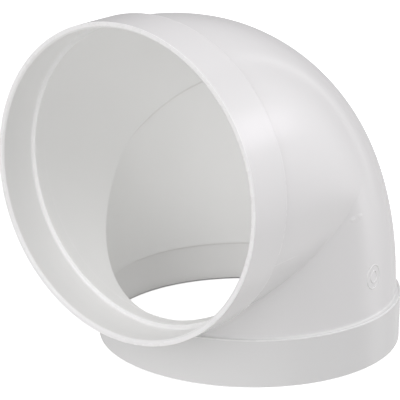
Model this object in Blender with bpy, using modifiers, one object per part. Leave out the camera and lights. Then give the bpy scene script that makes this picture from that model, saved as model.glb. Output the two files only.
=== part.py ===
"""Ninety degree elbow for round duct, with a pipe socket on each end.

The inlet leg runs along Y and opens towards -Y.  The outlet leg runs along Z and opens
downwards, on the plane z = 0.  X = 0 is the plane of symmetry, and the origin is the centre
of the bottom of the bounding box.

The two straight cylinders meet in a sharp mitre at the throat.  Over the heel they are
rounded off by a circle swept about the bend's centre.  A collar, one wall thicker than the
bend, laps over each end of it, and the end face left standing inside the collar is the stop
ledge that a pipe is pushed up against.
"""

import math

import bpy
import numpy as np
from mathutils import Vector

MM = 0.001

# Driving dimensions.
NOMINAL_PIPE_DIAMETER = 125.0 * MM
SOCKET_SLACK = 0.4 * MM            # radial play between the pipe and the socket
COLLAR_WALL = 1.7 * MM
BEND_WALL = 1.55 * MM
LAP_GAP = 0.3 * MM                 # radial gap between a collar and the bend inside it
REACH = 85.1 * MM                  # from the crossing of the axes to each rim
BEND_RADIUS = 61.5 * MM            # of the centre line round the heel
SOCKET_DEPTH = 18.0 * MM           # from the rim to the stop ledge
COLLAR_LENGTH = 20.3 * MM
EDGE_BREAK = 0.3 * MM              # takes the corner off the back of the collar
RIM_BREAK = 0.4 * MM               # takes the corner off the outside of the rim
LEAD_IN = 0.45 * MM                # small chamfer at the mouth of the socket

# Sizes that follow from them.
SOCKET_BORE = NOMINAL_PIPE_DIAMETER / 2 + SOCKET_SLACK
COLLAR_OUTER = SOCKET_BORE + COLLAR_WALL
BEND_OUTER = SOCKET_BORE - LAP_GAP
BEND_BORE = BEND_OUTER - BEND_WALL
LEDGE = REACH - SOCKET_DEPTH       # from the crossing of the axes to each stop ledge

# Resolution of the facets.
SIDES = 64                         # round each circle
BEND_STEPS = 18                    # round the bend, even so that one ring lies on the mitre
BISECTIONS = 40
FAN_START = 0.5                    # where the rays are halved from and to, in skin radii
FAN_END = 1.5
SHARP_ANGLE = 30                   # degrees between faces, past which an edge looks sharp

# The rings round the bend turn about a line beside the throat, just clear of the wall.
PIVOT = (BEND_OUTER + LEDGE) / 2

WHITE_PLASTIC = (0.88, 0.88, 0.89, 1.0)
BEND_ROUGHNESS = 0.22
COLLAR_ROUGHNESS = 0.2

EMPTY_SIZE = 20 * MM
MERGE_DISTANCE = 0.01 * MM


def clear_scene():
    """Remove every object, so that the script can be run again."""
    for old in list(bpy.data.objects):
        bpy.data.objects.remove(old, do_unlink=True)


def make_collection(name):
    """Return a new collection linked to the scene."""
    collection = bpy.data.collections.new(name)
    bpy.context.scene.collection.children.link(collection)
    return collection


def gloss_plastic(name, roughness):
    """Return a Principled material for white moulded plastic."""
    material = bpy.data.materials.new(name)
    material.use_nodes = True
    shader = material.node_tree.nodes["Principled BSDF"]
    shader.inputs["Base Color"].default_value = WHITE_PLASTIC
    shader.inputs["Roughness"].default_value = roughness
    shader.inputs["Metallic"].default_value = 0.0
    return material


def add_object(name, data, material, collection, parent, location=(0, 0, 0), rotation=(0, 0, 0)):
    """Link a named object that holds the data and its own material."""
    data.materials.append(material)
    thing = bpy.data.objects.new(name, data)
    thing.location = location
    thing.rotation_euler = rotation
    thing.parent = parent
    collection.objects.link(thing)
    return thing


def distance_to_skin(x, y, z, radius):
    """Return how far points lie outside the elbow of that radius, negative inside it.

    Each half of the elbow, split by the mitre plane y = z, is a cylinder along its own leg.
    Past the tangent planes of the bend it is also kept inside the swept circle.
    """
    across = np.where(y < z, z, y)
    from_leg = np.hypot(x, across)
    in_bend = (y > -BEND_RADIUS) & (z > -BEND_RADIUS)
    from_arc = np.hypot(x, np.hypot(y + BEND_RADIUS, z + BEND_RADIUS) - BEND_RADIUS)
    return np.where(in_bend, np.maximum(from_leg, from_arc), from_leg) - radius


def bend_ring(turn, radius):
    """Return the ring where a plane through the pivot line, turned by an angle, cuts the skin.

    A fan of rays starts in the middle of the duct, and each one is halved down to the skin.
    """
    fan = np.arange(SIDES) * 2 * math.pi / SIDES
    outward_y, outward_z = math.sin(turn), math.cos(turn)

    def along(length):
        rise = PIVOT + length * np.sin(fan)
        return length * np.cos(fan), rise * outward_y - PIVOT, rise * outward_z - PIVOT

    near = np.full(SIDES, FAN_START * radius)
    far = np.full(SIDES, FAN_END * radius)
    for _ in range(BISECTIONS):
        middle = (near + far) / 2
        outside = distance_to_skin(*along(middle), radius) > 0
        near = np.where(outside, near, middle)
        far = np.where(outside, middle, far)
    return np.stack(along((near + far) / 2), axis=1)


def skin_rings(radius):
    """Return the rings of one skin, from the inlet ledge round the bend to the outlet ledge."""
    turns = [math.radians(90) * step / BEND_STEPS for step in range(BEND_STEPS + 1)]
    rings = [bend_ring(turn, radius) for turn in turns]
    inlet_end = rings[0].copy()
    inlet_end[:, 1] = -LEDGE
    outlet_end = rings[-1].copy()
    outlet_end[:, 2] = -LEDGE
    return [inlet_end, *rings, outlet_end]


def bend_mesh(name):
    """Return the bend's shell: an outer and an inner loft joined by the two ledges."""
    outer = skin_rings(BEND_OUTER)
    inner = skin_rings(BEND_BORE)
    loop = outer + inner[::-1]
    faces = []
    for ring in range(len(loop)):
        here = ring * SIDES
        there = (ring + 1) % len(loop) * SIDES
        for side in range(SIDES):
            after = (side + 1) % SIDES
            faces.append((here + side, there + side, there + after, here + after))
    mesh = bpy.data.meshes.new(name)
    mesh.from_pydata(np.concatenate(loop).tolist(), [], faces)
    mesh.shade_smooth()
    mesh.set_sharp_from_angle(angle=math.radians(SHARP_ANGLE))
    return mesh


def collar_profile():
    """Return the collar's closed outline as (radius, height above the rim) points.

    It runs across the flat back, down the outside, across the rim and back up the socket's
    bore.  The two collars come within a millimetre of each other at the throat.
    """
    return [
        (SOCKET_BORE, COLLAR_LENGTH),
        (COLLAR_OUTER - EDGE_BREAK, COLLAR_LENGTH),
        (COLLAR_OUTER, COLLAR_LENGTH - EDGE_BREAK),
        (COLLAR_OUTER, RIM_BREAK),
        (COLLAR_OUTER - RIM_BREAK, 0.0),
        (SOCKET_BORE + LEAD_IN, 0.0),
        (SOCKET_BORE, LEAD_IN),
    ]


def collar_mesh(name):
    """Return the collar's outline as a closed wire, ready to be turned about Z."""
    outline = collar_profile()
    mesh = bpy.data.meshes.new(name)
    vertices = [(radius, 0.0, height) for radius, height in outline]
    edges = [(index, (index + 1) % len(outline)) for index in range(len(outline))]
    mesh.from_pydata(vertices, edges, [])
    return mesh


def turn_about_axis(thing):
    """Turn an outline a full circle about its object's Z axis."""
    screw = thing.modifiers.new("turn", "SCREW")
    screw.axis = "Z"
    screw.angle = math.radians(360)
    screw.steps = SIDES
    screw.render_steps = SIDES
    screw.use_merge_vertices = True
    screw.merge_threshold = MERGE_DISTANCE
    screw.use_smooth_shade = True


def build():
    """Model the bend and its two socket collars about the crossing of their axes."""
    clear_scene()
    elbow = make_collection("duct_elbow")

    crossing = bpy.data.objects.new("axis_crossing", None)
    crossing.empty_display_size = EMPTY_SIZE
    crossing.location = Vector((0.0, (REACH - COLLAR_OUTER) / 2, REACH))
    elbow.objects.link(crossing)

    add_object("bend_shell", bend_mesh("bend_shell"), gloss_plastic("bend_plastic", BEND_ROUGHNESS),
               elbow, crossing)

    collars = (
        ("inlet_socket_collar", (0.0, -REACH, 0.0), (math.radians(-90), 0.0, 0.0)),
        ("outlet_socket_collar", (0.0, 0.0, -REACH), (0.0, 0.0, 0.0)),
    )
    for name, rim_centre, facing in collars:
        plastic = gloss_plastic(name + "_plastic", COLLAR_ROUGHNESS)
        collar = add_object(name, collar_mesh(name), plastic, elbow, crossing, rim_centre, facing)
        turn_about_axis(collar)


build()
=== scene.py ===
"""Finished surfaces, plastic and studio for a ninety degree elbow for round duct.

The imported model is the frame.  Its sizes are read from the nodes, and every finished piece is
worked out as a surface of two parameters in millimetres about the point where the axes of the
two legs cross, with X across the elbow, the inlet leg along -Y and the outlet leg along -Z.

The bend is two cylinders mitred at the throat and rounded over the heel by a swept circle.
Two lathed collars make the sockets.  Fine moulded traces lie on the skins: the line where the
cores met, faint rings where they end, the scar of the gate, two plain rings and a flow line.
"""

import logging
import math
from dataclasses import dataclass, field, replace
from enum import Enum

import bpy
import numpy as np
from mathutils import Matrix, Vector


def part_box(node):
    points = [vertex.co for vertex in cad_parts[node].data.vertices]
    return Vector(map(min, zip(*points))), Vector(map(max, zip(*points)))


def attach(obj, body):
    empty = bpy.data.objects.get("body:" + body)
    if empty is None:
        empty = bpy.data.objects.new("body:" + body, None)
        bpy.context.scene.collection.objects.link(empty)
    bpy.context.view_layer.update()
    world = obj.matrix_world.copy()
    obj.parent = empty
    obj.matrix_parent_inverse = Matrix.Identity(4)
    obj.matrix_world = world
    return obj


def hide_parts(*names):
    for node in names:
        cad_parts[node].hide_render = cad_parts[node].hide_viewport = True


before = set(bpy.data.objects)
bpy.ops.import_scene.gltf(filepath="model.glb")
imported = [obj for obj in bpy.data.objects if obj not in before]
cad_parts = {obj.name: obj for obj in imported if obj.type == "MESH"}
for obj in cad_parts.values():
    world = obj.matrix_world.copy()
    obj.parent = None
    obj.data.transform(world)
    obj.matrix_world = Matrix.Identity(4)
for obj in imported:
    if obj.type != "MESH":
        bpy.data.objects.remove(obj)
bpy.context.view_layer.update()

LOG = logging.getLogger("duct_elbow")
MM = 0.001
SHARP_ANGLE = 38.0                 # degrees between faces, past which an edge looks sharp
TOUCH = 0.01                       # how close, in millimetres, counts as the same place
SLOPE_STEP = 0.02                  # in millimetres, on each side of a point
SETTLE_ROUNDS, HALVINGS = 8, 40    # of a search for the skin, along normals and along rays
ACROSS_MITRE = np.array((0.0, 1.0, 1.0)) / math.sqrt(2)

# How handling and dust change the plastic's tone, as a factor, and its roughness, as a sum.  On edges
# the lighter tone is a painted highlight along rims and ledges, and the added roughness is real
# rubbing.
WEAR_AND_HIGHLIGHT_GAIN, MARKED_GAIN, DUSTY_GAIN = 1.075, 0.93, 0.72
BRIGHTEST = 0.99
RUB_SHARE, SPECK_SHARE = 0.35, 0.12
RUB_ROUGHNESS, EDGE_ROUGHNESS = 0.16, 0.10
RUB_HEIGHT = -0.0015               # in millimetres
PLASTIC_IOR = 1.5


class Leg(Enum):
    """The two legs of the elbow, by the axis that each runs back along."""

    INLET = 1
    OUTLET = 2

    @property
    def other(self) -> int:
        """Return the axis, beside X, that lies across this leg."""
        return 3 - self.value


@dataclass(frozen=True)
class ElbowSizes:
    """Sizes of the elbow in millimetres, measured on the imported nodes.

    Attributes:
        crossing: where the axes of the legs cross, in the row frame.
        reach: from the crossing to each rim.
        ledge: from the crossing to each stop ledge.
        collar_outer: outer radius of a collar.
        collar_length: from the rim to the back of a collar.
        socket_bore: inner radius of a collar.
        bend_outer: outer radius of the bend.
        bend_bore: inner radius of the bend.
        bend_radius: radius of the centre line round the heel.
    """

    crossing: np.ndarray
    reach: float
    ledge: float
    collar_outer: float
    collar_length: float
    socket_bore: float
    bend_outer: float
    bend_bore: float
    bend_radius: float

    @classmethod
    def measure(cls) -> "ElbowSizes":
        """Return the sizes read from the frame's boxes and meshes."""
        inlet_low, inlet_high = np.array(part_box("inlet_socket_collar")) / MM
        outlet_low, outlet_high = np.array(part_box("outlet_socket_collar")) / MM
        bend_low, bend_high = np.array(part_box("bend_shell")) / MM
        crossing = (outlet_low + outlet_high) / 2
        crossing[2] = (inlet_low[2] + inlet_high[2]) / 2
        collar = node_points("outlet_socket_collar") - crossing
        bend = node_points("bend_shell") - crossing
        bend_outer = (bend_high[0] - bend_low[0]) / 2
        heel = (bend @ ACROSS_MITRE).max()
        end_ring = bend[bend[:, 2] < bend_low[2] - crossing[2] + TOUCH]
        return cls(
            crossing=crossing,
            reach=crossing[1] - inlet_low[1],
            ledge=crossing[1] - bend_low[1],
            collar_outer=(outlet_high[0] - outlet_low[0]) / 2,
            collar_length=inlet_high[1] - inlet_low[1],
            socket_bore=np.hypot(collar[:, 0], collar[:, 1]).min(),
            bend_outer=bend_outer,
            bend_bore=np.hypot(end_ring[:, 0], end_ring[:, 1]).min(),
            bend_radius=(bend_outer - heel) / (math.sqrt(2) - 1),
        )

    def on_leg(self, leg: Leg, across: np.ndarray, up: np.ndarray, away: np.ndarray) -> np.ndarray:
        """Return points given by a leg's own directions.

        Args:
            leg: the leg.
            across: distance along X.
            up: distance along the other leg, positive on the heel's side.
            away: distance from the crossing, out along the leg.
        """
        points = np.zeros(np.broadcast(across, up, away).shape + (3,))
        points[..., 0] = across
        points[..., leg.other] = up
        points[..., leg.value] = -away
        return points

    def turned(self, leg: Leg, radius: np.ndarray, angle: np.ndarray, away: np.ndarray) -> np.ndarray:
        """Return points at a radius and an angle round a leg's axis; see on_leg."""
        return self.on_leg(leg, radius * np.cos(angle), radius * np.sin(angle), away)


def node_points(name: str) -> np.ndarray:
    """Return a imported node's vertices in millimetres, in the row frame."""
    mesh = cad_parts[name].data
    points = np.zeros(len(mesh.vertices) * 3, np.float32)
    mesh.vertices.foreach_get("co", points)
    return points.reshape(-1, 3).astype(float) / MM


def round_angles(count: int) -> np.ndarray:
    """Return evenly spaced angles round a circle, without its end."""
    return np.arange(count) * 2 * math.pi / count


def run_along(points: np.ndarray) -> np.ndarray:
    """Return how far along a line of points each one is."""
    return np.concatenate(((0.0,), np.cumsum(np.linalg.norm(np.diff(points, axis=0), axis=1))))


def duct_uv(run: np.ndarray, angle: np.ndarray, lap: float = 2 * math.pi) -> np.ndarray:
    """Return texture places: U is the run in tenths of a metre, V the angle in laps."""
    return np.stack(np.broadcast_arrays(run[:, None] / 100, angle[None, :] / lap), -1)


def smooth_step(value: np.ndarray, low: float, high: float) -> np.ndarray:
    """Return 0 below low, 1 above high, and the cubic 3t2 - 2t3 between them."""
    share = np.clip((value - low) / (high - low), 0.0, 1.0)
    return share * share * (3 - 2 * share)


def smooth_max(first: np.ndarray, second: np.ndarray, width: float) -> np.ndarray:
    """Return the larger of two values with its corner rounded over a width.

    The formula is half the sum plus half the root of the squared difference plus width squared.
    """
    return (first + second + np.sqrt((first - second) ** 2 + width**2)) / 2


def rounded_outline(
    corners: np.ndarray, cuts: tuple[float, ...], edge_shares: tuple[float, ...], steps: int = 6
) -> tuple[np.ndarray, np.ndarray]:
    """Return an open outline of straight lines with its corners rounded.

    A corner becomes the curve (1-t)2 A + 2t(1-t) C + t2 B, where C is the corner and A and B
    lie a cut away from it on each side.  A close point on each side of it keeps the straight
    lines' shading straight.

    Args:
        corners: the corners, two columns.
        cuts: how far each corner is cut back, 0 for a sharp one.
        edge_shares: how much of an edge each corner is.
        steps: lines in each rounding.

    Returns:
        The outline's points, and how much of an edge each point is.
    """
    close = 0.12
    points, edges = [], []
    share = np.linspace(0.0, 1.0, steps + 1)[:, None]
    for number, (corner, cut, edge_share) in enumerate(zip(corners, cuts, edge_shares)):
        if cut == 0.0:
            points.append(corner[None])
            edges.append(np.full(1, edge_share))
            continue
        before, after = corners[number - 1] - corner, corners[number + 1] - corner
        before /= np.linalg.norm(before)
        after /= np.linalg.norm(after)
        first, last = corner + before * cut, corner + after * cut
        curve = (1 - share) ** 2 * first + 2 * share * (1 - share) * corner + share**2 * last
        points += [(first + before * close)[None], curve, (last + after * close)[None]]
        edges.append(np.concatenate(((0.0,), np.full(steps + 1, edge_share), (0.0,))))
    return np.concatenate(points), np.concatenate(edges)


@dataclass(frozen=True)
class DuctSkin:
    """One skin of the bend, as the set of points at no distance outside it.

    Attributes:
        sizes: the elbow's sizes.
        radius: radius of the legs and of the swept circle.
        crease: width over which the crease at the throat is rounded.
        blend: width over which the legs run into the swept circle.
        wobble: height of the slow unevenness that a cooled moulding has.
    """

    sizes: ElbowSizes
    radius: float
    crease: float
    blend: float = 2.2
    wobble: float = 0.0

    def excess(self, points: np.ndarray) -> np.ndarray:
        """Return how far points lie outside the skin, negative inside it.

        A point is as far out as it is from the axis of its own leg, where the legs meet in
        the rounded mitre plane, or from the arc about the bend's centre, whichever is more.
        The slow unevenness is a sum of three sines of the point's place.
        """
        x, y, z = np.moveaxis(points, -1, 0)
        bend = self.sizes.bend_radius
        leg = np.hypot(x, smooth_max(y, z, self.crease))
        arc = np.hypot(x, np.hypot(y + bend, z + bend) - bend)
        bent = (y > -bend) & (z > -bend)
        soft = self.blend * np.clip((y + bend) * (z + bend) / bend**2, 0.0, 1.0) + 0.01
        far = np.where(bent, smooth_max(leg, arc, soft), leg)
        calm = smooth_step(y, -bend, -bend / 2) * smooth_step(z, -bend, -bend / 2)
        waves = calm * (
            np.sin(x / 11.0 + y / 7.5 + 0.6)
            + np.sin(z / 9.0 - x / 14.0 + 2.1)
            + np.sin((y - z) / 13.0 + x / 6.5)
        )
        return far - self.radius - self.wobble * waves / 3

    def normals(self, points: np.ndarray) -> np.ndarray:
        """Return unit normals, as the slope of the excess along each axis."""
        slopes = [
            self.excess(points + offset) - self.excess(points - offset)
            for offset in np.eye(3) * SLOPE_STEP
        ]
        slope = np.stack(slopes, axis=-1)
        return slope / np.linalg.norm(slope, axis=-1, keepdims=True)

    def settle(self, points: np.ndarray) -> np.ndarray:
        """Return points moved along their normals until they lie on the skin."""
        for _ in range(SETTLE_ROUNDS):
            points = points - self.normals(points) * self.excess(points)[..., None]
        return points

    def grid(self, turns: np.ndarray, fans: np.ndarray) -> np.ndarray:
        """Return the skin over the bend as a grid of turn by fan.

        A half plane turns about a line beside the throat.  In it a fan of rays starts in the
        middle of the duct, and each ray is halved down to the skin.

        Args:
            turns: angles of the half plane, 0 across the inlet leg.
            fans: angles of the rays, 0 along X.
        """
        pivot = (self.sizes.bend_outer + self.sizes.ledge) / 2
        turn, fan = turns[:, None], fans[None, :]

        def along(length: np.ndarray) -> np.ndarray:
            """Return the points at a length along the rays."""
            rise = pivot + length * np.sin(fan)
            x = length * np.cos(fan)
            return np.stack((x, rise * np.sin(turn) - pivot, rise * np.cos(turn) - pivot), -1)

        near = np.full((len(turns), len(fans)), 0.5 * self.radius)
        far = 3 * near
        for _ in range(HALVINGS):
            middle = (near + far) / 2
            outside = self.excess(along(middle)) > 0
            near, far = np.where(outside, near, middle), np.where(outside, middle, far)
        return along((near + far) / 2)


class Surface:
    """A closed mesh in the making: parts of grids, each with its own finish."""

    def __init__(self, name: str) -> None:
        """Start a surface with no points.

        Args:
            name: the piece's name.
        """
        self.name = name
        self.points: list[np.ndarray] = []
        self.quads: list[np.ndarray] = []
        self.uvs: list[np.ndarray] = []
        self.finishes: list[np.ndarray] = []
        self.edges: list[np.ndarray] = []
        self.count = 0

    def add_grid(
        self,
        grid: np.ndarray,
        uv: np.ndarray | None = None,
        finish: np.ndarray | int = 0,
        edge: np.ndarray | float = 0.0,
        wrap: tuple[bool, bool] = (False, True),
    ) -> None:
        """Add a grid of points as quads, rows by columns.

        Args:
            grid: points in millimetres about the crossing, rows by columns by 3.
            uv: their texture places, rows by columns by 2, or none where nothing reads them.
            finish: index of the finish of each row of quads, or of all.
            edge: how much of an edge each point is, from 0 to 1.
            wrap: whether the rows and the columns close on themselves.
        """
        rows, columns = grid.shape[:2]
        index = np.arange(rows * columns).reshape(rows, columns) + self.count
        span = np.zeros((rows, columns, 2)) if uv is None else uv
        if wrap[0]:
            index = np.vstack((index, index[:1]))
            span = np.concatenate((span, span[:1] + (span[-1:] - span[-2:-1])), 0)
        if wrap[1]:
            index = np.hstack((index, index[:, :1]))
            span = np.concatenate((span, span[:, -1:] * 2 - span[:, -2:-1]), 1)
        quads = np.stack((index[:-1, :-1], index[1:, :-1], index[1:, 1:], index[:-1, 1:]), -1)
        corners = np.stack((span[:-1, :-1], span[1:, :-1], span[1:, 1:], span[:-1, 1:]), 2)
        self.points.append(grid.reshape(-1, 3))
        self.quads.append(quads.reshape(-1, 4))
        self.uvs.append(corners.reshape(-1, 2))
        each = np.broadcast_to(np.reshape(finish, (-1, 1)), quads.shape[:2])
        self.finishes.append(each.reshape(-1))
        self.edges.append(np.broadcast_to(edge, (rows, columns)).reshape(-1))
        self.count += rows * columns

    def build(self, sizes: ElbowSizes, materials: list[bpy.types.Material]) -> bpy.types.Object:
        """Make the mesh and its object at the origin.

        Args:
            sizes: the elbow's sizes, for the place of the crossing.
            materials: one finish for each index given to add_grid.

        Returns:
            The new object, linked to the scene.
        """
        points = (np.concatenate(self.points) + sizes.crossing) * MM
        quads = np.concatenate(self.quads)
        mesh = bpy.data.meshes.new(self.name)
        mesh.vertices.add(len(points))
        mesh.vertices.foreach_set("co", points.astype(np.float32).ravel())
        mesh.loops.add(quads.size)
        mesh.loops.foreach_set("vertex_index", quads.ravel().astype(np.int32))
        mesh.polygons.add(len(quads))
        mesh.polygons.foreach_set("loop_start", np.arange(0, quads.size, 4, dtype=np.int32))
        mesh.polygons.foreach_set("material_index", np.concatenate(self.finishes).astype(np.int32))
        mesh.update(calc_edges=True)
        mesh.shade_smooth()
        mesh.set_sharp_from_angle(angle=math.radians(SHARP_ANGLE))
        layer = mesh.uv_layers.new(name="duct")
        layer.data.foreach_set("uv", np.concatenate(self.uvs).astype(np.float32).ravel())
        edge = mesh.attributes.new("edge", "FLOAT", "POINT")
        edge.data.foreach_set("value", np.concatenate(self.edges).astype(np.float32))
        for material in materials:
            mesh.materials.append(material)
        piece = bpy.data.objects.new(self.name, mesh)
        bpy.context.scene.collection.objects.link(piece)
        return piece


def add_bead(
    surface: Surface,
    path: np.ndarray,
    normals: np.ndarray,
    half_width: np.ndarray | float,
    height: np.ndarray | float,
    closed: bool = True,
    sides: int = 8,
) -> None:
    """Add a low bead that follows a path along a skin.

    Its section is an ellipse about the path, half_width along the skin and height out of it.
    An open bead is closed at each end by a fan.

    Args:
        surface: the surface that takes the bead.
        path: points on the skin, in order.
        normals: the skin's outward normals there.
        half_width: half the bead's width, the same all along or at each point.
        height: how far it stands out of the skin, the same all along or at each point.
        closed: whether the path joins its own start.
        sides: points round the section.
    """
    edge_share = 0.3
    if closed:
        tangent = np.roll(path, -1, 0) - np.roll(path, 1, 0)
    else:
        tangent = np.gradient(path, axis=0)
    tangent /= np.linalg.norm(tangent, axis=1, keepdims=True)
    side = np.cross(tangent, normals)
    side /= np.linalg.norm(side, axis=1, keepdims=True)
    angle = round_angles(sides)
    wide, tall = (np.broadcast_to(size, len(path))[:, None, None] for size in (half_width, height))
    across = wide * np.cos(angle)[None, :, None] * side[:, None, :]
    out = tall * np.sin(angle)[None, :, None] * normals[:, None, :]
    grid = path[:, None, :] + across + out
    uv = duct_uv(run_along(path), angle, 10.0)
    surface.add_grid(grid, uv, edge=edge_share, wrap=(closed, True))
    if not closed:
        for ring in (grid[0][::-1], grid[-1]):
            fan = np.stack((ring, np.broadcast_to(ring.mean(0), ring.shape)))
            surface.add_grid(fan, edge=edge_share)


# ---------------------------------------------------------------------------------------------
# Shader nodes and groups.


def add_node(
    tree: bpy.types.NodeTree, kind: str, links: dict | None = None, **settings: object
) -> bpy.types.Node:
    """Add a node to a tree, set it up and wire its inputs.

    Args:
        tree: the node tree.
        kind: the node's type, without its "ShaderNode" prefix.
        links: input name or number to a socket to link from, or to a plain value.
        settings: the node's own properties.

    Returns:
        The new node.
    """
    node = tree.nodes.new("ShaderNode" + kind)
    for name, value in settings.items():
        setattr(node, name, value)
    for name, value in (links or {}).items():
        if isinstance(value, bpy.types.NodeSocket):
            tree.links.new(value, node.inputs[name])
        else:
            node.inputs[name].default_value = value
    return node


def maths(
    tree: bpy.types.NodeTree,
    operation: str,
    first: bpy.types.NodeSocket,
    second: bpy.types.NodeSocket | float = 0.0,
    clamp: bool = False,
) -> bpy.types.NodeSocket:
    """Return the result of a Math node on one or two numbers."""
    links = {0: first, 1: second}
    return add_node(tree, "Math", links, operation=operation, use_clamp=clamp).outputs[0]


def ramp(
    tree: bpy.types.NodeTree,
    value: bpy.types.NodeSocket,
    start: float,
    end: bpy.types.NodeSocket | float,
    low: float = 0.0,
    high: float = 1.0,
    kind: str = "SMOOTHSTEP",
) -> bpy.types.NodeSocket:
    """Return a number carried from start..end onto low..high, and held past both ends."""
    links = {"Value": value, "From Min": start, "From Max": end, "To Min": low, "To Max": high}
    return add_node(tree, "MapRange", links, interpolation_type=kind).outputs[0]


def noise(
    tree: bpy.types.NodeTree,
    place: bpy.types.NodeSocket,
    seed: bpy.types.NodeSocket,
    scale: bpy.types.NodeSocket | float,
    detail: float,
) -> bpy.types.NodeSocket:
    """Return fractal noise of four dimensions, the seed being the fourth."""
    links = {"Vector": place, "W": seed, "Scale": scale, "Detail": detail}
    return add_node(tree, "TexNoise", links, noise_dimensions="4D").outputs["Fac"]


def mix_colour(
    tree: bpy.types.NodeTree,
    share: bpy.types.NodeSocket,
    first: bpy.types.NodeSocket | tuple,
    second: bpy.types.NodeSocket | tuple,
) -> bpy.types.NodeSocket:
    """Return the mix of two colours, each a socket or a plain colour, by a share."""
    ends = [v if isinstance(v, bpy.types.NodeSocket) else (*v, 1.0) for v in (first, second)]
    return add_node(tree, "Mix", {0: share, 6: ends[0], 7: ends[1]}, data_type="RGBA").outputs[2]


class GroupMaker:
    """A shader node group in the making, which takes numbers and puts out one."""

    def __init__(self, name: str, **numbers: float) -> None:
        """Start a group.

        Args:
            name: the group's name.
            numbers: the numbers that it takes, each with its default.
        """
        self.tree = bpy.data.node_groups.new(name, "ShaderNodeTree")
        self.start = self.tree.nodes.new("NodeGroupInput")
        self.end = self.tree.nodes.new("NodeGroupOutput")
        face = self.tree.interface
        for label, value in numbers.items():
            socket = face.new_socket(label, in_out="INPUT", socket_type="NodeSocketFloat")
            socket.default_value = value

    def taken(self, name: str) -> bpy.types.NodeSocket:
        """Return the socket of a number that the group takes."""
        return self.start.outputs[name]

    def place(self) -> bpy.types.NodeSocket:
        """Return object coordinates."""
        return add_node(self.tree, "TexCoord").outputs["Object"]

    def gives(self, name: str, source: bpy.types.NodeSocket) -> bpy.types.NodeTree:
        """Let the group put out a number, and return the finished group."""
        self.tree.interface.new_socket(name, in_out="OUTPUT", socket_type="NodeSocketFloat")
        self.tree.links.new(source, self.end.inputs[name])
        return self.tree


def make_haze_group() -> bpy.types.NodeTree:
    """Return the group for slow cloudy variation, as from uneven cooling.

    It is fractal noise on object coordinates, stretched about its middle by the contrast.
    """
    maker = GroupMaker("slow_haze", Scale=20.0, Contrast=2.0, Seed=0.0)
    tree = maker.tree
    cloud = noise(tree, maker.place(), maker.taken("Seed"), maker.taken("Scale"), 3.0)
    wide = maths(tree, "MULTIPLY", maths(tree, "SUBTRACT", cloud, 0.5), maker.taken("Contrast"))
    return maker.gives("Mask", maths(tree, "ADD", wide, 0.5, clamp=True))


def make_peel_group() -> bpy.types.NodeTree:
    """Return the group for the fine grain that a polished mould leaves.

    Its height is fine noise plus a share of coarser noise on object coordinates.
    """
    maker = GroupMaker("fine_peel", Fine=1600.0, Coarse=260.0, Seed=0.0)
    tree, place, seed = maker.tree, maker.place(), maker.taken("Seed")
    fine = noise(tree, place, seed, maker.taken("Fine"), 2.0)
    coarse = maths(tree, "MULTIPLY", noise(tree, place, seed, maker.taken("Coarse"), 2.0), 2.5)
    return maker.gives("Height", maths(tree, "ADD", fine, coarse))


def make_draw_group() -> bpy.types.NodeTree:
    """Return the group for fine lines drawn along the duct as the cores pulled out.

    It is noise on the piece's own UV map, where U runs along the duct and V round it.  V is
    scaled up far more than U, so the noise turns into long streaks.
    """
    maker = GroupMaker("draw_lines", Lines=220.0, Seed=0.0)
    tree = maker.tree
    split = add_node(tree, "SeparateXYZ", {0: add_node(tree, "UVMap", uv_map="duct").outputs[0]})
    along = maths(tree, "MULTIPLY", split.outputs[0], 2.5)
    angle = maths(tree, "MULTIPLY", split.outputs[1], 2 * math.pi)
    ring = [
        maths(tree, "MULTIPLY", maths(tree, operation, angle), maker.taken("Lines"))
        for operation in ("COSINE", "SINE")
    ]
    place = add_node(tree, "CombineXYZ", {0: ring[0], 1: ring[1], 2: along}).outputs[0]
    return maker.gives("Height", noise(tree, place, maker.taken("Seed"), 0.35, 2.0))


def make_rub_group() -> bpy.types.NodeTree:
    """Return the group for fine rubs and hairline scratches from handling.

    The middle contour of stretched noise makes thin long lines, and a slower noise keeps them
    to a few patches.
    """
    maker = GroupMaker("hairline_rubs", Density=0.5, Width=0.006, Seed=0.0)
    tree, place, seed = maker.tree, maker.place(), maker.taken("Seed")
    lines = []
    for number, stretch in enumerate(((30.0, 210.0, 60.0), (150.0, 40.0, 230.0))):
        turn = (0.4 + number, 0.9 - number, 0.3 * number)
        turned = add_node(tree, "Mapping", {"Vector": place, "Rotation": turn, "Scale": stretch})
        middle = maths(tree, "SUBTRACT", noise(tree, turned.outputs[0], seed, 1.0, 0.0), 0.5)
        away = maths(tree, "ABSOLUTE", middle)
        lines.append(ramp(tree, away, 0.0, maker.taken("Width"), 1.0, 0.0))
    patches = ramp(tree, noise(tree, place, seed, 38.0, 1.0), 0.52, 0.68)
    few = maths(tree, "MULTIPLY", maths(tree, "MAXIMUM", *lines), patches)
    return maker.gives("Mask", maths(tree, "MULTIPLY", few, maker.taken("Density")))


def make_edge_group() -> bpy.types.NodeTree:
    """Return the group for edges, which handling has rubbed and which take a painted highlight.

    The piece's edge attribute, broken up by noise on object coordinates, gives the mask.
    """
    maker = GroupMaker("rubbed_edges_and_highlight", Amount=1.0, Seed=0.0)
    tree = maker.tree
    edge = add_node(tree, "Attribute", attribute_name="edge", attribute_type="GEOMETRY")
    broken = ramp(tree, noise(tree, maker.place(), maker.taken("Seed"), 190.0, 3.0), 0.0, 0.6)
    both = maths(tree, "MULTIPLY", edge.outputs["Fac"], broken)
    return maker.gives("Mask", maths(tree, "MULTIPLY", both, maker.taken("Amount"), clamp=True))


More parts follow.
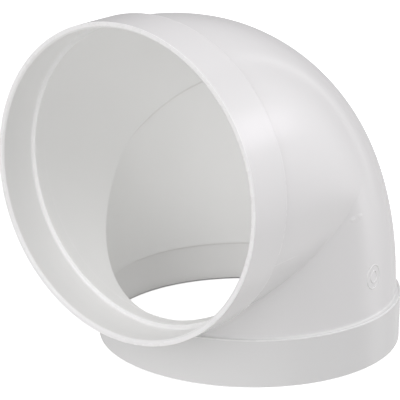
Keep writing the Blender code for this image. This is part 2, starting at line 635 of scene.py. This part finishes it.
def make_speck_group() -> bpy.types.NodeTree:
    """Return the group for the rare specks of dust on clean plastic.

    A cell's centre becomes a dot where the cell's own random number is low enough.
    """
    maker = GroupMaker("dust_specks", Scale=300.0, Size=0.10, Share=0.04)
    tree = maker.tree
    links = {"Vector": maker.place(), "Scale": maker.taken("Scale"), "Randomness": 1.0}
    cells = add_node(tree, "TexVoronoi", links)
    dot = ramp(tree, cells.outputs["Distance"], 0.0, maker.taken("Size"), 1.0, 0.0)
    number = add_node(tree, "SeparateColor", {0: cells.outputs["Color"]}).outputs[0]
    chosen = maths(tree, "LESS_THAN", number, maker.taken("Share"))
    return maker.gives("Mask", maths(tree, "MULTIPLY", dot, chosen))


@dataclass
class ShaderKit:
    """The shared effects, each a node group built once."""

    haze: bpy.types.NodeTree = field(default_factory=make_haze_group)
    peel: bpy.types.NodeTree = field(default_factory=make_peel_group)
    draw: bpy.types.NodeTree = field(default_factory=make_draw_group)
    rubs: bpy.types.NodeTree = field(default_factory=make_rub_group)
    edges: bpy.types.NodeTree = field(default_factory=make_edge_group)
    specks: bpy.types.NodeTree = field(default_factory=make_speck_group)

    @staticmethod
    def use(
        tree: bpy.types.NodeTree, group: bpy.types.NodeTree, **values: float
    ) -> bpy.types.NodeSocket:
        """Place a group in a material with its own values, and return its output."""
        node = tree.nodes.new("ShaderNodeGroup")
        node.node_tree = group
        for name, value in values.items():
            node.inputs[name.title()].default_value = value
        return node.outputs[0]


@dataclass(frozen=True)
class MouldedPlastic:
    """A white moulded plastic finish.

    Attributes:
        name: the material's name.
        tone: base colour.
        haze_tone: colour where the slow haze is thickest.
        roughness: roughness of clean plastic.
        haze_roughness: what the haze adds to it.
        peel: height of the fine grain in millimetres.
        draw: height of the lines drawn along the duct in millimetres.
        rubs: share of the surface that carries hairline rubs.
        edge_amount: how strongly edges are rubbed and lightened, the lightening a painted highlight.
        seed: place in the noise.
    """

    name: str
    tone: tuple[float, float, float]
    haze_tone: tuple[float, float, float]
    roughness: float
    haze_roughness: float
    peel: float
    draw: float
    rubs: float
    edge_amount: float
    seed: float

    def build(self, kit: ShaderKit) -> bpy.types.Material:
        """Make the material.

        Args:
            kit: the shared node groups.

        Returns:
            A material with a Principled shader, whose colour, roughness and bump vary.
        """
        material = bpy.data.materials.new(self.name)
        material.use_nodes = True
        tree = material.node_tree
        shader = tree.nodes["Principled BSDF"]
        haze = kit.use(tree, kit.haze, scale=26.0, contrast=2.2, seed=self.seed)
        cloud = kit.use(tree, kit.haze, scale=95.0, contrast=2.0, seed=self.seed + 3.7)
        rubs = kit.use(tree, kit.rubs, density=self.rubs, width=0.007, seed=self.seed)
        edges = kit.use(tree, kit.edges, amount=self.edge_amount, seed=self.seed)
        specks = kit.use(tree, kit.specks, scale=900.0, size=0.13, share=0.012)

        colour = mix_colour(tree, haze, self.tone, self.haze_tone)
        # The edge mask lightens the tone: a painted highlight on rims and ledges.  Rubs and specks
        # are real marks.
        for mask, share, gain in (
            (edges, 1.0, WEAR_AND_HIGHLIGHT_GAIN),
            (rubs, RUB_SHARE, MARKED_GAIN),
            (specks, SPECK_SHARE, DUSTY_GAIN),
        ):
            tone = tuple(min(BRIGHTEST, value * gain) for value in self.tone)
            colour = mix_colour(tree, maths(tree, "MULTIPLY", mask, share), colour, tone)
        tree.links.new(colour, shader.inputs["Base Color"])

        hazy = self.roughness + self.haze_roughness
        rough = ramp(tree, haze, 0.0, 1.0, self.roughness, hazy, "LINEAR")
        for mask, gain in (
            (cloud, 0.5 * self.haze_roughness),
            (rubs, RUB_ROUGHNESS),
            (edges, EDGE_ROUGHNESS),
        ):
            rough = maths(tree, "ADD", rough, maths(tree, "MULTIPLY", mask, gain))
        tree.links.new(rough, shader.inputs["Roughness"])

        peel = kit.use(tree, kit.peel, fine=1500.0, coarse=240.0, seed=self.seed)
        draw = kit.use(tree, kit.draw, lines=220.0, seed=self.seed)
        below = {}
        for height, distance in ((peel, self.peel), (draw, self.draw), (rubs, RUB_HEIGHT)):
            links = {"Height": height, "Distance": distance * MM, "Strength": 1.0, **below}
            below = {"Normal": add_node(tree, "Bump", links).outputs[0]}
        tree.links.new(below["Normal"], shader.inputs["Normal"])
        shader.inputs["IOR"].default_value = PLASTIC_IOR
        return material


# ---------------------------------------------------------------------------------------------
# Pieces.


@dataclass
class Piece:
    """A finished piece that rides on the elbow.

    Attributes:
        sizes: the elbow's sizes.
        materials: the finishes of the piece.
    """

    sizes: ElbowSizes
    materials: list[bpy.types.Material]

    def hand_over(self, surface: Surface, *nodes: str) -> bpy.types.Object:
        """Build the piece, let it ride on the elbow and let it stand for CAD nodes.

        Args:
            surface: the finished surface.
            nodes: the CAD nodes that it replaces, or none.

        Returns:
            The piece.
        """
        piece = surface.build(self.sizes, self.materials)
        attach(piece, "root")
        if nodes:
            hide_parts(*nodes)
        LOG.info("%s: %d faces", piece.name, len(piece.data.polygons))
        return piece


@dataclass
class BendShell(Piece):
    """The bend: an outer skin, a bore, and the two stop ledges between them.

    Attributes:
        sides: points round the duct.
        half_turns: rings from the inlet end of the bend to the mitre.
        outer_crease: rounding of the crease outside.
        bore_crease: rounding of the ridge inside.
        outer_wobble: height of the outer skin's unevenness.
        flare: how far the outer skin flares under a collar, into its wall.
        ledge_round: radius of the ledge's inner edge.
    """

    sides: int = 288
    half_turns: int = 66
    outer_crease: float = 0.45
    bore_crease: float = 0.5
    outer_wobble: float = 0.035
    flare: float = 0.55
    ledge_round: float = 0.3

    def outer_skin(self) -> DuctSkin:
        """Return the skin that faces the room."""
        radius, crease = self.sizes.bend_outer, self.outer_crease
        return DuctSkin(self.sizes, radius, crease, wobble=self.outer_wobble)

    def bore_skin(self) -> DuctSkin:
        """Return the skin that faces the air."""
        return DuctSkin(self.sizes, self.sizes.bend_bore, self.bore_crease)

    def turns(self) -> np.ndarray:
        """Return the angles of the rings, close together at the mitre and wide at the ends.

        From the mitre outwards, the angle grows as a quarter of the share plus three quarters
        of its power 2.2.
        """
        share = np.linspace(0.0, 1.0, self.half_turns + 1)
        spread = math.radians(45) * (0.25 * share + 0.75 * share**2.2)
        return np.concatenate((math.radians(45) - spread[:0:-1], math.radians(45) + spread))

    def legs(self, fans: np.ndarray, steps: np.ndarray) -> list[np.ndarray]:
        """Return the straight rings of both legs, from the ledge to the bend.

        Args:
            fans: angles round the duct.
            steps: distance inwards from the ledge and radius of each ring, two columns.
        """
        away = self.sizes.ledge - steps[:, :1]
        return [self.sizes.turned(leg, steps[:, 1:], fans, away) for leg in Leg]

    def make(self) -> bpy.types.Object:
        """Build the bend as one closed surface, outer skin first and back through the bore."""
        fans, turns = round_angles(self.sides), self.turns()
        outer, bore = self.outer_skin(), self.bore_skin()
        flared = outer.radius + self.flare
        outer_steps = np.array(((0.0, flared), (2.0, flared), (2.6, outer.radius)))
        bore_in, bore_out = self.legs(fans, self.ledge_steps(bore.radius))
        outer_in, outer_out = self.legs(fans, outer_steps)
        outside = np.concatenate((outer_in, outer.grid(turns, fans), outer_out[::-1]))
        inside = np.concatenate((bore_out, bore.grid(turns[::-1], fans), bore_in[::-1]))
        loop = np.concatenate((outside, inside))
        bore_rows = np.arange(len(loop)) >= len(outside) - 1
        edge = np.zeros(len(loop))
        # The rows at the stop ledges are full edges, so they take the edges' painted highlight.
        edge[:2] = edge[len(outside) - 2 : len(outside) + 2] = 1.0
        along = np.concatenate(((0.0,), np.cumsum(np.abs(np.diff(loop.mean(1), axis=0)).sum(1))))
        surface = Surface("bend_moulding")
        uv = duct_uv(along, fans)
        surface.add_grid(loop, uv, bore_rows.astype(int), edge[:, None], wrap=(True, True))
        return self.hand_over(surface, "bend_shell")

    def ledge_steps(self, radius: float) -> np.ndarray:
        """Return the rounded inner edge of a ledge: a quarter circle from face to bore."""
        angle = np.linspace(0.0, math.pi / 2, 5)
        inward = self.ledge_round * (1 - np.cos(angle))
        return np.stack((inward, radius + self.ledge_round * (1 - np.sin(angle))), -1)


@dataclass
class SocketCollar(Piece):
    """A collar: the plain socket at the end of a leg.

    Attributes:
        leg: the leg that it ends.
        sides: points round it.
        rim_round: how much the rim's outer edge is rounded.
        lead_in: width of the chamfer at the mouth of the bore.
        lip: how much thicker the wall is at the rim than behind it.
        lip_length: how far behind the rim the lip has thinned away.
        edge_round: how much the top of the step at the back is rounded.
        fillet: how much the foot of that step is rounded.
        ledge_fillet: how much the corner between the bore and the stop ledge is rounded.
        foot: how far the outline runs in over the stop ledge.
        run_out: how far behind the step the outline sinks into the bend's skin.
    """

    leg: Leg = Leg.INLET
    sides: int = 288
    rim_round: float = 0.35
    lead_in: float = 0.75
    lip: float = 0.7
    lip_length: float = 9.0
    edge_round: float = 0.45
    fillet: float = 1.0
    ledge_fillet: float = 0.9
    foot: float = 1.3
    run_out: float = 2.5

    def profile(self) -> tuple[np.ndarray, np.ndarray]:
        """Return the outline as (radius, height above the rim) and how much of an edge it is.

        Each row of it is a corner, how far it is cut back and how much of an edge it is.
        The corners, in order: just under the bend's skin; the foot and the top of the step at
        the back; the rim's outer edge; both ends of the chamfer at the mouth; the lip's end;
        the foot of the stop ledge; and two where the outline runs over the ledge and shuts
        inside the bend's wall.
        """
        s = self.sizes
        mouth = s.socket_bore - self.lip
        foot = s.socket_bore - self.foot
        step = s.reach - s.ledge - 0.02
        outline = (
            ((s.bend_outer - 0.03, s.collar_length + self.run_out), 0.0, 0.0),
            ((s.bend_outer + 0.02, s.collar_length), self.fillet, 0.0),
            ((s.collar_outer, s.collar_length), self.edge_round, 1.0),
            ((s.collar_outer, 0.0), self.rim_round, 1.0),
            ((mouth + self.lead_in, 0.0), 0.25, 1.0),
            ((mouth, self.lead_in), 0.3, 0.5),
            ((s.socket_bore, self.lip_length), 2.0, 0.0),
            ((s.socket_bore, step), self.ledge_fillet, 0.3),
            ((foot, step), 0.0, 1.0),
            ((foot, step + 0.4), 0.0, 0.0),
        )
        corners, cuts, edge_shares = zip(*outline)
        points, edges = rounded_outline(np.array(corners), cuts, edge_shares)
        # The rim's points are full edges, so the rim takes the edges' painted highlight.
        return points, np.where(points[:, 1] < TOUCH, 1.0, edges)

    def make(self) -> bpy.types.Object:
        """Turn the outline about the leg's axis."""
        outline, edges = self.profile()
        fans = round_angles(self.sides)
        turning = fans if self.leg is Leg.INLET else fans[::-1]
        away = self.sizes.reach - outline[:, 1:]
        grid = self.sizes.turned(self.leg, outline[:, :1], turning, away)
        bore_rows = (outline[:, 0] < self.sizes.socket_bore + TOUCH) & (edges < 1.0)
        bore_rows &= outline[:, 1] < self.sizes.collar_length
        uv = duct_uv(run_along(outline), fans)
        name = self.leg.name.lower()
        surface = Surface(name + "_collar_moulding")
        surface.add_grid(grid, uv, bore_rows.astype(int), edges[:, None], wrap=(True, True))
        return self.hand_over(surface, name + "_socket_collar")


@dataclass
class MouldedTraces(Piece):
    """The low traces that the mould left on the skins, and a dark ring of painted shade by the
    outlet's stop ledge.

    Attributes:
        outer: the skin that faces the room.
        bore: the skin that faces the air.
    """

    outer: DuctSkin = None
    bore: DuctSkin = None

    def core_parting(self) -> bpy.types.Object:
        """Build the line over the inside of the heel, where the two cores met.

        It is the swept circle's own ring in the mitre plane, from one end of the throat's
        ridge to the other.
        """
        bend, radius = self.sizes.bend_radius, self.bore.radius
        start = math.asin(bend * (math.sqrt(2) - 1) ** 2 / radius)
        angle = np.linspace(start, math.pi - start, 181)
        rise = (radius * np.sin(angle) - (math.sqrt(2) * bend - bend)) / math.sqrt(2)
        path = np.stack((radius * np.cos(angle), rise, rise), -1)
        path = self.bore.settle(path)
        half_turn = math.pi / 2 - start
        fade = smooth_step(np.abs(angle - math.pi / 2), half_turn, half_turn - 0.3)
        surface = Surface("core_parting_line")
        inward = -self.bore.normals(path)
        width, height = 0.05 + 0.5 * fade, 0.02 + 0.14 * fade
        add_bead(surface, path, inward, width, height, closed=False, sides=10)
        return self.hand_over(surface)

    def core_seam(self, leg: Leg) -> bpy.types.Object:
        """Build the faint ring in the bore where a leg's straight core ends."""
        angle = round_angles(240)
        path = self.sizes.turned(leg, self.bore.radius, angle, self.sizes.bend_radius)
        if leg is Leg.OUTLET:
            path = path[::-1]
        surface = Surface(leg.name.lower() + "_core_seam")
        add_bead(surface, path, -self.bore.normals(path), 0.10, 0.035)
        return self.hand_over(surface)

    def stop_line(self) -> bpy.types.Object:
        """Build a dark ring on the outlet collar's bore, close outside its stop ledge: painted shade
        where the ledge overhangs.
        """
        angle = round_angles(288)
        away = self.sizes.ledge + 0.65
        path = self.sizes.turned(Leg.OUTLET, self.sizes.socket_bore, angle, away)
        inward = -self.sizes.turned(Leg.OUTLET, 1.0, angle, 0.0)
        surface = Surface("outlet_stop_line")
        add_bead(surface, path, inward, 0.4, 0.06)
        return self.hand_over(surface)

    def cavity_ring(self) -> bpy.types.Object:
        """Build the two plain raised rings on the side of the outlet leg."""
        surface = Surface("cavity_ring")
        middle_up, middle_away, stretch = 0.6, 47.3, 1.08
        angle = round_angles(96)
        for radius, width in ((4.6, 0.3), (2.3, 0.24)):
            up = radius * np.cos(angle) + middle_up
            away = middle_away + stretch * radius * np.sin(angle)
            flat = self.sizes.on_leg(Leg.OUTLET, self.outer.radius, up, away)
            path = self.outer.settle(flat)
            add_bead(surface, path, self.outer.normals(path), width, 0.3, sides=10)
        return self.hand_over(surface)

    def flow_line(self) -> bpy.types.Object:
        """Build the hairline that runs along the side of the inlet leg from its collar."""
        start, end, angle = 44.8, 63.0, math.radians(-25.2)
        away = np.linspace(start, end, 60)
        path = self.outer.settle(self.sizes.turned(Leg.INLET, self.outer.radius, angle, away))
        fade = smooth_step(away, start, 52.0)
        width, height = 0.04 + 0.1 * fade, 0.02 + 0.05 * fade
        surface = Surface("flow_line")
        add_bead(surface, path, self.outer.normals(path), width, height, closed=False)
        return self.hand_over(surface)

    def gate_scar(self) -> bpy.types.Object:
        """Build the scar of the gate: two low lumps of trimmed plastic by the crease's end.

        A disc of rings and spokes settles on the skin, and stands out by two bells of the
        distance from each lump's middle, broken up by sines.  Its rim sinks into the wall.
        """
        share = np.linspace(0.0, 1.0, 26)[:, None]
        angle = round_angles(64)[None, :]
        across = 5.4 * share * np.cos(angle)
        down = 2.6 * share * np.sin(angle)
        centre = self.sizes.on_leg(Leg.OUTLET, 61.6, -11.6, 19.3)
        flat = centre + self.sizes.on_leg(Leg.OUTLET, -0.15 * across, across, down)
        on_skin = self.outer.settle(flat)
        normals = self.outer.normals(on_skin)
        rough = 0.75 + 0.25 * np.sin(2.9 * across + 1.7 * down) * np.sin(3.7 * down - 1.1 * across)
        first = np.exp(-(((across + 2.6) / 1.5) ** 2) - (down / 0.9) ** 2)
        second = np.exp(-(((across - 2.4) / 1.2) ** 2) - ((down + 0.5) / 0.8) ** 2)
        height = 0.22 * (first + 0.8 * second) * rough + 0.05 * (1 - share**2) - 0.12 * share**6
        top = on_skin + normals * (height - 0.02)[..., None]
        under = on_skin - normals * 0.35
        grid = np.concatenate((top, under[::-1]))
        uv = np.stack(np.broadcast_arrays(np.linspace(0, 0.1, len(grid))[:, None], angle / 6.3), -1)
        surface = Surface("gate_scar")
        pale = np.clip(0.7 * (first + second), 0.0, 1.0)
        pale = np.concatenate((pale, 0 * pale))[:, ::-1]
        surface.add_grid(grid[:, ::-1], uv, edge=pale)
        return self.hand_over(surface)


# ---------------------------------------------------------------------------------------------
# Studio.


def toward(azimuth: float, elevation: float) -> tuple[float, float, float]:
    """Return the unit vector of a direction in degrees, azimuth 0 from -Y and 90 from +X."""
    turn, rise = math.radians(azimuth), math.radians(elevation)
    return math.sin(turn) * math.cos(rise), -math.cos(turn) * math.cos(rise), math.sin(rise)


def cosine_to(
    tree: bpy.types.NodeTree, where: bpy.types.NodeSocket, azimuth: float, elevation: float
) -> bpy.types.NodeSocket:
    """Return the cosine of the angle between the direction looked in and another."""
    links = {0: where, 1: toward(azimuth, elevation)}
    return add_node(tree, "VectorMath", links, operation="DOT_PRODUCT").outputs["Value"]


@dataclass(frozen=True)
class SoftLobe:
    """A soft round patch of light in the studio's dome.

    Attributes:
        azimuth: direction in degrees, 0 from -Y and 90 from +X.
        elevation: degrees above the horizon.
        spread: angle in degrees over which it fades to nothing.
        light: its red, green and blue brightness at its middle.
    """

    azimuth: float
    elevation: float
    spread: float
    light: tuple[float, float, float]

    def add(
        self, tree: bpy.types.NodeTree, where: bpy.types.NodeSocket, total: bpy.types.NodeSocket
    ) -> bpy.types.NodeSocket:
        """Return the light so far with this patch added.

        Args:
            tree: the world's node tree.
            where: the direction looked in.
            total: the light of the patches so far.
        """
        links = {0: self.light, "Scale": self.share(tree, where)}
        patch = add_node(tree, "VectorMath", links, operation="SCALE")
        return add_node(tree, "VectorMath", {0: total, 1: patch.outputs[0]}).outputs[0]

    def share(
        self, tree: bpy.types.NodeTree, where: bpy.types.NodeSocket
    ) -> bpy.types.NodeSocket:
        """Return 1 in the patch's middle, falling smoothly with the cosine to 0 at the spread."""
        near = cosine_to(tree, where, self.azimuth, self.elevation)
        return ramp(tree, near, math.cos(math.radians(self.spread)), 1.0)


@dataclass(frozen=True)
class SoftArc(SoftLobe):
    """The thin bright edge of a round reflector, of which only one side shows.

    Attributes:
        radius: angle in degrees from the reflector's middle to its edge.
        width: half the edge's width in degrees.
        reflector: azimuth and elevation of the reflector's middle.
    """

    radius: float = 32.0
    width: float = 4.0
    reflector: tuple[float, float] = (152.0, 16.0)

    def share(
        self, tree: bpy.types.NodeTree, where: bpy.types.NodeSocket
    ) -> bpy.types.NodeSocket:
        """Return a band of the angle from the reflector's middle, kept to one round patch."""
        near = super().share(tree, where)
        angle = maths(tree, "ARCCOSINE", cosine_to(tree, where, *self.reflector))
        away = maths(tree, "ABSOLUTE", maths(tree, "SUBTRACT", angle, math.radians(self.radius)))
        band = ramp(tree, away, 0.0, math.radians(self.width), 1.0, 0.0)
        return maths(tree, "MULTIPLY", near, band)


@dataclass
class Studio:
    """The floor, the light and the camera.

    Attributes:
        sizes: the elbow's sizes.
        lobes: the soft patches of the dome.
        horizon: the dome's light between them, at the horizon.
        overhead: what the dome's light gains from the horizon to overhead.
        floor_tone: how much light the floor gives back.
        floor_glow: how far the floor is lit through from below, for the camera alone.
        floor_size: radius of the floor in millimetres.
        backdrop: how bright the world is to the camera.
        azimuth: the camera's direction in degrees, 0 from -Y and 90 from +X.
        elevation: degrees of the camera above the horizon.
        roll: degrees by which the camera is rolled.
        offset: how far the camera is back, aside and above, in millimetres.
        lens: the lens in millimetres, on a sensor 36 mm wide.
    """

    sizes: ElbowSizes
    lobes: tuple[SoftLobe, ...] = (
        SoftLobe(21.0, 10.0, 29.0, (1.49, 1.47, 1.49)),
        SoftLobe(3.0, 43.0, 30.0, (0.94, 0.92, 0.93)),
        SoftLobe(136.0, 9.0, 41.0, (1.45, 1.42, 1.45)),
        SoftLobe(107.0, -14.0, 45.0, (-1.28, -1.26, -1.28)),
        SoftLobe(199.0, -83.0, 92.0, (1.02, 1.0, 1.0)),
        SoftLobe(245.0, 57.0, 77.0, (-0.43, -0.43, -0.43)),
        SoftLobe(146.0, 19.0, 11.0, (1.75, 1.64, 1.8)),
        SoftArc(188.0, 8.0, 36.0, (0.9, 0.9, 0.9)),
    )
    horizon: tuple[float, float, float] = (0.44, 0.435, 0.44)
    overhead: tuple[float, float, float] = (0.62, 0.61, 0.62)
    floor_tone: float = 0.8
    floor_glow: float = 0.75
    floor_size: float = 4000.0
    backdrop: float = 1.05
    azimuth: float = 37.77
    elevation: float = 17.86
    roll: float = 0.25
    offset: tuple[float, float, float] = (824.97, -21.41, -25.59)
    lens: float = 177.0

    def dome(self) -> None:
        """Light the world: white to the camera, and a dome of soft patches to all else."""
        world = bpy.data.worlds.new("soft_dome")
        bpy.context.scene.world = world
        world.use_nodes = True
        tree = world.node_tree
        tree.nodes.clear()
        out = tree.nodes.new("ShaderNodeOutputWorld")
        where = add_node(tree, "TexCoord").outputs["Generated"]
        height = add_node(tree, "SeparateXYZ", {0: where}).outputs[2]
        sky = add_node(tree, "VectorMath", {0: self.overhead, "Scale": height}, operation="SCALE")
        total = add_node(tree, "VectorMath", {0: sky.outputs[0], 1: self.horizon}).outputs[0]
        for lobe in self.lobes:
            total = lobe.add(tree, where, total)
        lit = add_node(tree, "VectorMath", {0: total, 1: (0.0, 0.0, 0.0)}, operation="MAXIMUM")
        dome = add_node(tree, "Background", {"Color": lit.outputs[0], "Strength": 1.0})
        white = {"Color": (1.0, 1.0, 1.0, 1.0), "Strength": self.backdrop}
        seen = add_node(tree, "Background", white)
        tree.links.new(self.for_camera(tree, dome, seen), out.inputs[0])

    @staticmethod
    def for_camera(
        tree: bpy.types.NodeTree, others: bpy.types.Node, camera: bpy.types.Node
    ) -> bpy.types.NodeSocket:
        """Return one shader for the camera's own rays and another for all the others."""
        direct = add_node(tree, "LightPath").outputs["Is Camera Ray"]
        links = {0: direct, 1: others.outputs[0], 2: camera.outputs[0]}
        return add_node(tree, "MixShader", links).outputs[0]

    def lay(
        self, name: str, radii: np.ndarray, drop: float, material: bpy.types.Material
    ) -> bpy.types.Object:
        """Return a flat disc or ring that lies a small drop below the outlet rim."""
        surface = Surface(name)
        away = self.sizes.reach + drop
        surface.add_grid(self.sizes.turned(Leg.OUTLET, radii[:, None], round_angles(96), away))
        return surface.build(self.sizes, [material])

    def floor(self) -> None:
        """Lay a wide pale disc under the outlet rim, lit through from below for the camera."""
        material = bpy.data.materials.new("pale_floor")
        material.use_nodes = True
        tree = material.node_tree
        shader = tree.nodes["Principled BSDF"]
        place = add_node(tree, "TexCoord").outputs["Object"]
        mottle = add_node(tree, "TexNoise", {"Vector": place, "Scale": 6.0, "Detail": 3.0})
        tone, dull = (self.floor_tone,) * 3, (self.floor_tone * 0.98,) * 3
        colour = mix_colour(tree, mottle.outputs["Fac"], tone, dull)
        tree.links.new(colour, shader.inputs["Base Color"])
        shader.inputs["Roughness"].default_value = 0.9
        shader.inputs["Specular IOR Level"].default_value = 0.0
        glow = add_node(tree, "Emission", {"Strength": self.floor_glow})
        lit = add_node(tree, "AddShader", {0: shader.outputs[0], 1: glow.outputs[0]})
        seen = self.for_camera(tree, shader, lit)
        tree.links.new(seen, tree.nodes["Material Output"].inputs["Surface"])
        radii = np.linspace(0.0, 1.0, 24) ** 1.5 * self.floor_size
        floor = self.lay("floor", radii, 0.2, material)
        floor.visible_diffuse = False
        floor.visible_glossy = False
        floor.visible_shadow = False

    def contact_shade(self) -> None:
        """Lay a dark ring under the outlet rim, where no light gets in.

        The camera doesn't see it.  It is as wide as the wall, and a little wider inside.
        """
        material = bpy.data.materials.new("floor_under_rim")
        material.use_nodes = True
        shader = material.node_tree.nodes["Principled BSDF"]
        shader.inputs["Base Color"].default_value = (0.05, 0.05, 0.05, 1.0)
        shader.inputs["Roughness"].default_value = 1.0
        radii = np.linspace(self.sizes.socket_bore - 2.6, self.sizes.collar_outer - 0.2, 4)
        shade = self.lay("contact_shade", radii, 0.3, material)
        shade.visible_camera = False

    def camera(self) -> None:
        """Set the camera at the height and side that the elbow is seen from."""
        roll = math.radians(self.roll)
        distance, aside, above = self.offset
        back = Vector(toward(self.azimuth, self.elevation))
        right = Vector(toward(self.azimuth + 90, 0.0))
        up = back.cross(right)
        place = Vector(self.sizes.crossing) + back * distance + right * aside + up * above
        rolled_right = right * math.cos(roll) + up * math.sin(roll)
        rolled_up = up * math.cos(roll) - right * math.sin(roll)
        turned = Matrix((rolled_right, rolled_up, back)).transposed().to_4x4()
        data = bpy.data.cameras.new("studio_camera")
        data.sensor_width = 36.0
        data.lens = self.lens
        data.clip_start, data.clip_end = 0.05, 50.0
        camera = bpy.data.objects.new("studio_camera", data)
        camera.matrix_world = Matrix.Translation(place * MM) @ turned
        bpy.context.scene.collection.objects.link(camera)
        bpy.context.scene.camera = camera

    def make(self) -> None:
        """Build the whole studio."""
        self.dome()
        self.floor()
        self.contact_shade()
        self.camera()
        bpy.context.scene.view_settings.view_transform = "Standard"
        LOG.info("studio: %d soft patches", len(self.lobes))


OUTSIDE = MouldedPlastic(
    name="outside_gloss",
    tone=(0.92, 0.92, 0.915),
    haze_tone=(0.905, 0.905, 0.90),
    roughness=0.16,
    haze_roughness=0.04,
    peel=0.004,
    draw=0.0,
    rubs=0.35,
    edge_amount=1.0,
    seed=1.3,
)
# The inside is a lighter copy of the same plastic as the outside: painted light that brightens the
# bore.
INSIDE = MouldedPlastic(
    name="inside_gloss",
    tone=(0.951, 0.955, 0.944),
    haze_tone=(0.938, 0.943, 0.931),
    roughness=0.34,
    haze_roughness=0.07,
    peel=0.003,
    draw=0.004,
    rubs=0.3,
    edge_amount=1.0,
    seed=7.9,
)
# Darker copies of both finishes for the outlet collar: painted shade low down by the floor.
OUTSIDE_PAINTED_SHADE = replace(
    OUTSIDE, name="outside_gloss_painted_shade", tone=(0.875, 0.88, 0.872), haze_tone=(0.86, 0.865, 0.857)
)
INSIDE_PAINTED_SHADE = replace(
    INSIDE, name="inside_gloss_painted_shade", tone=(0.92, 0.922, 0.91), haze_tone=(0.905, 0.907, 0.895)
)
# A darker copy of the inside finish for the fine seams: painted shade along the core parting line and
# under the stop ledge.
SEAM_PAINTED_SHADE = replace(
    INSIDE, name="seam_painted_shade", tone=(0.84, 0.84, 0.825), haze_tone=(0.82, 0.82, 0.805)
)


def main() -> None:
    """Build the pieces in order, then the studio."""
    logging.basicConfig(level=logging.INFO, format="%(name)s: %(message)s")
    sizes = ElbowSizes.measure()
    LOG.info("sizes: %s", sizes)
    kit = ShaderKit()
    outside, inside = OUTSIDE.build(kit), INSIDE.build(kit)
    bend = BendShell(sizes, [outside, inside])
    bend.make()
    # The outlet collar takes the darker copies: painted shade.
    below = [OUTSIDE_PAINTED_SHADE.build(kit), INSIDE_PAINTED_SHADE.build(kit)]
    SocketCollar(sizes, [outside, inside], leg=Leg.INLET).make()
    SocketCollar(sizes, below, leg=Leg.OUTLET).make()
    skins = bend.outer_skin(), bend.bore_skin()
    # The core parting line and the stop line take the darker seam finish: painted shade.
    in_seams = MouldedTraces(sizes, [SEAM_PAINTED_SHADE.build(kit)], *skins)
    in_seams.core_parting()
    in_seams.stop_line()
    on_bore = MouldedTraces(sizes, [inside], *skins)
    for leg in Leg:
        on_bore.core_seam(leg)
    on_outside = MouldedTraces(sizes, [outside], *skins)
    on_outside.cavity_ring()
    on_outside.flow_line()
    on_outside.gate_scar()
    Studio(sizes).make()


if __name__ == "__main__":
    main()
